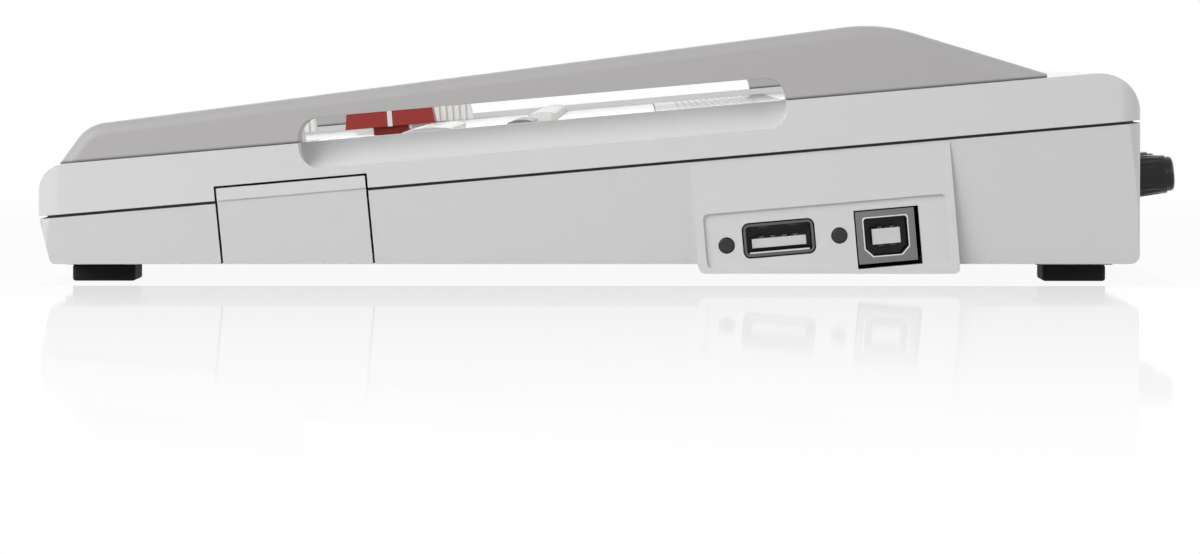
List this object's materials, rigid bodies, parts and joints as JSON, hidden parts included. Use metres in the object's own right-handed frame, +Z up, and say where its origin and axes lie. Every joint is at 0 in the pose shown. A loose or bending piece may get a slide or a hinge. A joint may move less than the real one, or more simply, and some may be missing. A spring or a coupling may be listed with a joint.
{
  "type": "multitrack recorder",
  "caption": "Wedge-shaped desktop multitrack recorder with faders, keys, a jog dial and a display between two side rails, with jacks behind and data ports at the side.",
  "frame": {"origin": "middle of the overall box, on the desk", "axes": "+X to the right along the width, +Y from the front edge to the rear wall, +Z up"},
  "size_m": [0.376, 0.237, 0.0537],
  "materials": {
    "upper_shell": "fine satin texture",
    "lower_shell": "fine satin texture",
    "rail_grey": "satin paint",
    "panel_face": "gloss",
    "dark_window": "gloss",
    "display_glass": "gloss",
    "circuit_board": "solder mask",
    "pot_metal": "stamped",
    "black_plastic": "moulded",
    "port_shell": "nickel plated",
    "led_dark": "gloss",
    "contact_metal": "nickel plated",
    "foot_rubber": "matte",
    "screw_steel": "zinc plated",
    "fader_white": "satin",
    "fader_red": "satin",
    "key_white": "satin",
    "key_grey": "satin",
    "knob_black": "satin"
  },
  "bodies": {
    "chassis": {"lower_case": "lower_shell", "upper_case": "upper_shell", "top_panel": "panel_face", "rail_left": "rail_grey", "rail_right": "rail_grey", "display_window": "dark_window", "display_module": "display_glass", "meter_window": "dark_window", "panel_board": "circuit_board", "main_board": "circuit_board", "potentiometers": "pot_metal", "input_jacks": "black_plastic", "line_jacks": "black_plastic", "power_inlet": "black_plastic", "usb_host_port": "port_shell", "usb_device_port": "port_shell", "port_leds": "led_dark", "card_socket": "port_shell", "battery_contacts": "contact_metal", "feet": "foot_rubber", "screws": "screw_steel"},
    "card_door": {"card_door": "lower_shell"},
    "battery_door": {"battery_door": "lower_shell"},
    "power_slider": {"power_slider": "black_plastic"},
    "channel_fader_1": {"channel_fader_1": "fader_white"},
    "channel_fader_2": {"channel_fader_2": "fader_white"},
    "channel_fader_3": {"channel_fader_3": "fader_white"},
    "channel_fader_4": {"channel_fader_4": "fader_white"},
    "channel_fader_5": {"channel_fader_5": "fader_white"},
    "channel_fader_6": {"channel_fader_6": "fader_white"},
    "channel_fader_7": {"channel_fader_7": "fader_white"},
    "channel_fader_8": {"channel_fader_8": "fader_white"},
    "master_fader": {"master_fader": "fader_red"},
    "gain_knob_1": {"gain_knob_1": "knob_black"},
    "gain_knob_2": {"gain_knob_2": "knob_black"},
    "gain_knob_3": {"gain_knob_3": "knob_black"},
    "gain_knob_4": {"gain_knob_4": "knob_black"},
    "gain_knob_5": {"gain_knob_5": "knob_black"},
    "gain_knob_6": {"gain_knob_6": "knob_black"},
    "gain_knob_7": {"gain_knob_7": "knob_black"},
    "gain_knob_8": {"gain_knob_8": "knob_black"},
    "phones_knob": {"phones_knob": "knob_black"},
    "jog_dial": {"jog_dial": "key_white"},
    "cursor_pad": {"cursor_pad": "key_grey"},
    "rewind_key": {"rewind_key": "key_white"},
    "forward_key": {"forward_key": "key_white"},
    "stop_key": {"stop_key": "key_white"},
    "play_key": {"play_key": "key_white"},
    "record_key": {"record_key": "key_white"},
    "menu_key_1": {"menu_key_1": "key_grey"},
    "menu_key_2": {"menu_key_2": "key_grey"},
    "menu_key_3": {"menu_key_3": "key_grey"},
    "track_key_1": {"track_key_1": "key_white"},
    "track_key_2": {"track_key_2": "key_white"},
    "track_key_3": {"track_key_3": "key_white"},
    "track_key_4": {"track_key_4": "key_white"},
    "track_key_5": {"track_key_5": "key_white"},
    "track_key_6": {"track_key_6": "key_white"},
    "track_key_7": {"track_key_7": "key_white"},
    "track_key_8": {"track_key_8": "key_white"}
  },
  "joints": [
    {"name": "card_door_hinge", "type": "hinge", "parent": "chassis", "child": "card_door", "pos_m": [0.1842, -0.06459, 0.0063], "axis": [0, 1, 0], "range_deg": [0, 90]},
    {"name": "battery_door_hinge", "type": "hinge", "parent": "chassis", "child": "battery_door", "pos_m": [-0.0965, 0.0141, 0.0056], "axis": [-1, 0, 0], "range_deg": [0, 75]},
    {"name": "power_slider_slide", "type": "slide", "parent": "chassis", "child": "power_slider", "axis": [1, 0, 0], "range_m": [0, 0.003]},
    {"name": "channel_fader_1_slide", "type": "slide", "parent": "chassis", "child": "channel_fader_1", "axis": [0, 0.9962, 0.0872], "range_m": [-0.03, 0.015]},
    {"name": "channel_fader_2_slide", "type": "slide", "parent": "chassis", "child": "channel_fader_2", "axis": [0, 0.9962, 0.0872], "range_m": [-0.032, 0.013]},
    {"name": "channel_fader_3_slide", "type": "slide", "parent": "chassis", "child": "channel_fader_3", "axis": [0, 0.9962, 0.0872], "range_m": [-0.028, 0.017]},
    {"name": "channel_fader_4_slide", "type": "slide", "parent": "chassis", "child": "channel_fader_4", "axis": [0, 0.9962, 0.0872], "range_m": [-0.034, 0.011]},
    {"name": "channel_fader_5_slide", "type": "slide", "parent": "chassis", "child": "channel_fader_5", "axis": [0, 0.9962, 0.0872], "range_m": [-0.031, 0.014]},
    {"name": "channel_fader_6_slide", "type": "slide", "parent": "chassis", "child": "channel_fader_6", "axis": [0, 0.9962, 0.0872], "range_m": [-0.036, 0.009]},
    {"name": "channel_fader_7_slide", "type": "slide", "parent": "chassis", "child": "channel_fader_7", "axis": [0, 0.9962, 0.0872], "range_m": [-0.003, 0.042]},
    {"name": "channel_fader_8_slide", "type": "slide", "parent": "chassis", "child": "channel_fader_8", "axis": [0, 0.9962, 0.0872], "range_m": [-0.042, 0.003]},
    {"name": "master_fader_slide", "type": "slide", "parent": "chassis", "child": "master_fader", "axis": [0, 0.9962, 0.0872], "range_m": [-0.034, 0.011]},
    {"name": "gain_knob_1_turn", "type": "hinge", "parent": "chassis", "child": "gain_knob_1", "pos_m": [0.17, 0.1101, 0.0222], "axis": [0, 0.9962, 0.0872], "range_deg": [-150, 150]},
    {"name": "gain_knob_2_turn", "type": "hinge", "parent": "chassis", "child": "gain_knob_2", "pos_m": [0.133, 0.1101, 0.0222], "axis": [0, 0.9962, 0.0872], "range_deg": [-150, 150]},
    {"name": "gain_knob_3_turn", "type": "hinge", "parent": "chassis", "child": "gain_knob_3", "pos_m": [0.096, 0.1101, 0.0222], "axis": [0, 0.9962, 0.0872], "range_deg": [-150, 150]},
    {"name": "gain_knob_4_turn", "type": "hinge", "parent": "chassis", "child": "gain_knob_4", "pos_m": [0.059, 0.1101, 0.0222], "axis": [0, 0.9962, 0.0872], "range_deg": [-150, 150]},
    {"name": "gain_knob_5_turn", "type": "hinge", "parent": "chassis", "child": "gain_knob_5", "pos_m": [0.022, 0.1101, 0.0222], "axis": [0, 0.9962, 0.0872], "range_deg": [-150, 150]},
    {"name": "gain_knob_6_turn", "type": "hinge", "parent": "chassis", "child": "gain_knob_6", "pos_m": [-0.015, 0.1101, 0.0222], "axis": [0, 0.9962, 0.0872], "range_deg": [-150, 150]},
    {"name": "gain_knob_7_turn", "type": "hinge", "parent": "chassis", "child": "gain_knob_7", "pos_m": [-0.052, 0.1101, 0.0222], "axis": [0, 0.9962, 0.0872], "range_deg": [-150, 150]},
    {"name": "gain_knob_8_turn", "type": "hinge", "parent": "chassis", "child": "gain_knob_8", "pos_m": [-0.089, 0.1101, 0.0222], "axis": [0, 0.9962, 0.0872], "range_deg": [-150, 150]},
    {"name": "phones_knob_turn", "type": "hinge", "parent": "chassis", "child": "phones_knob", "pos_m": [-0.163, 0.1101, 0.0276], "axis": [0, 0.9962, 0.0872], "range_deg": [-150, 150]},
    {"name": "jog_dial_spin", "type": "hinge", "parent": "chassis", "child": "jog_dial", "pos_m": [0.138, -0.08368, 0.02778], "axis": [0, -0.0872, 0.9962], "continuous": true},
    {"name": "cursor_pad_press", "type": "slide", "parent": "chassis", "child": "cursor_pad", "axis": [0, 0.0872, -0.9962], "range_m": [0, 0.0006], "stiffness_N_per_m": 500, "springref_m": -0.001},
    {"name": "rewind_key_press", "type": "slide", "parent": "chassis", "child": "rewind_key", "axis": [0, 0.0872, -0.9962], "range_m": [0, 0.0009], "stiffness_N_per_m": 500, "springref_m": -0.001},
    {"name": "forward_key_press", "type": "slide", "parent": "chassis", "child": "forward_key", "axis": [0, 0.0872, -0.9962], "range_m": [0, 0.0009], "stiffness_N_per_m": 500, "springref_m": -0.001},
    {"name": "stop_key_press", "type": "slide", "parent": "chassis", "child": "stop_key", "axis": [0, 0.0872, -0.9962], "range_m": [0, 0.0009], "stiffness_N_per_m": 500, "springref_m": -0.001},
    {"name": "play_key_press", "type": "slide", "parent": "chassis", "child": "play_key", "axis": [0, 0.0872, -0.9962], "range_m": [0, 0.0009], "stiffness_N_per_m": 500, "springref_m": -0.001},
    {"name": "record_key_press", "type": "slide", "parent": "chassis", "child": "record_key", "axis": [0, 0.0872, -0.9962], "range_m": [0, 0.0009], "stiffness_N_per_m": 500, "springref_m": -0.001},
    {"name": "menu_key_1_press", "type": "slide", "parent": "chassis", "child": "menu_key_1", "axis": [0, 0.0872, -0.9962], "range_m": [0, 0.0009], "stiffness_N_per_m": 500, "springref_m": -0.001},
    {"name": "menu_key_2_press", "type": "slide", "parent": "chassis", "child": "menu_key_2", "axis": [0, 0.0872, -0.9962], "range_m": [0, 0.0009], "stiffness_N_per_m": 500, "springref_m": -0.001},
    {"name": "menu_key_3_press", "type": "slide", "parent": "chassis", "child": "menu_key_3", "axis": [0, 0.0872, -0.9962], "range_m": [0, 0.0009], "stiffness_N_per_m": 500, "springref_m": -0.001},
    {"name": "track_key_1_press", "type": "slide", "parent": "chassis", "child": "track_key_1", "axis": [0, 0.0872, -0.9962], "range_m": [0, 0.0009], "stiffness_N_per_m": 500, "springref_m": -0.001},
    {"name": "track_key_2_press", "type": "slide", "parent": "chassis", "child": "track_key_2", "axis": [0, 0.0872, -0.9962], "range_m": [0, 0.0009], "stiffness_N_per_m": 500, "springref_m": -0.001},
    {"name": "track_key_3_press", "type": "slide", "parent": "chassis", "child": "track_key_3", "axis": [0, 0.0872, -0.9962], "range_m": [0, 0.0009], "stiffness_N_per_m": 500, "springref_m": -0.001},
    {"name": "track_key_4_press", "type": "slide", "parent": "chassis", "child": "track_key_4", "axis": [0, 0.0872, -0.9962], "range_m": [0, 0.0009], "stiffness_N_per_m": 500, "springref_m": -0.001},
    {"name": "track_key_5_press", "type": "slide", "parent": "chassis", "child": "track_key_5", "axis": [0, 0.0872, -0.9962], "range_m": [0, 0.0009], "stiffness_N_per_m": 500, "springref_m": -0.001},
    {"name": "track_key_6_press", "type": "slide", "parent": "chassis", "child": "track_key_6", "axis": [0, 0.0872, -0.9962], "range_m": [0, 0.0009], "stiffness_N_per_m": 500, "springref_m": -0.001},
    {"name": "track_key_7_press", "type": "slide", "parent": "chassis", "child": "track_key_7", "axis": [0, 0.0872, -0.9962], "range_m": [0, 0.0009], "stiffness_N_per_m": 500, "springref_m": -0.001},
    {"name": "track_key_8_press", "type": "slide", "parent": "chassis", "child": "track_key_8", "axis": [0, 0.0872, -0.9962], "range_m": [0, 0.0009], "stiffness_N_per_m": 500, "springref_m": -0.001}
  ]
}
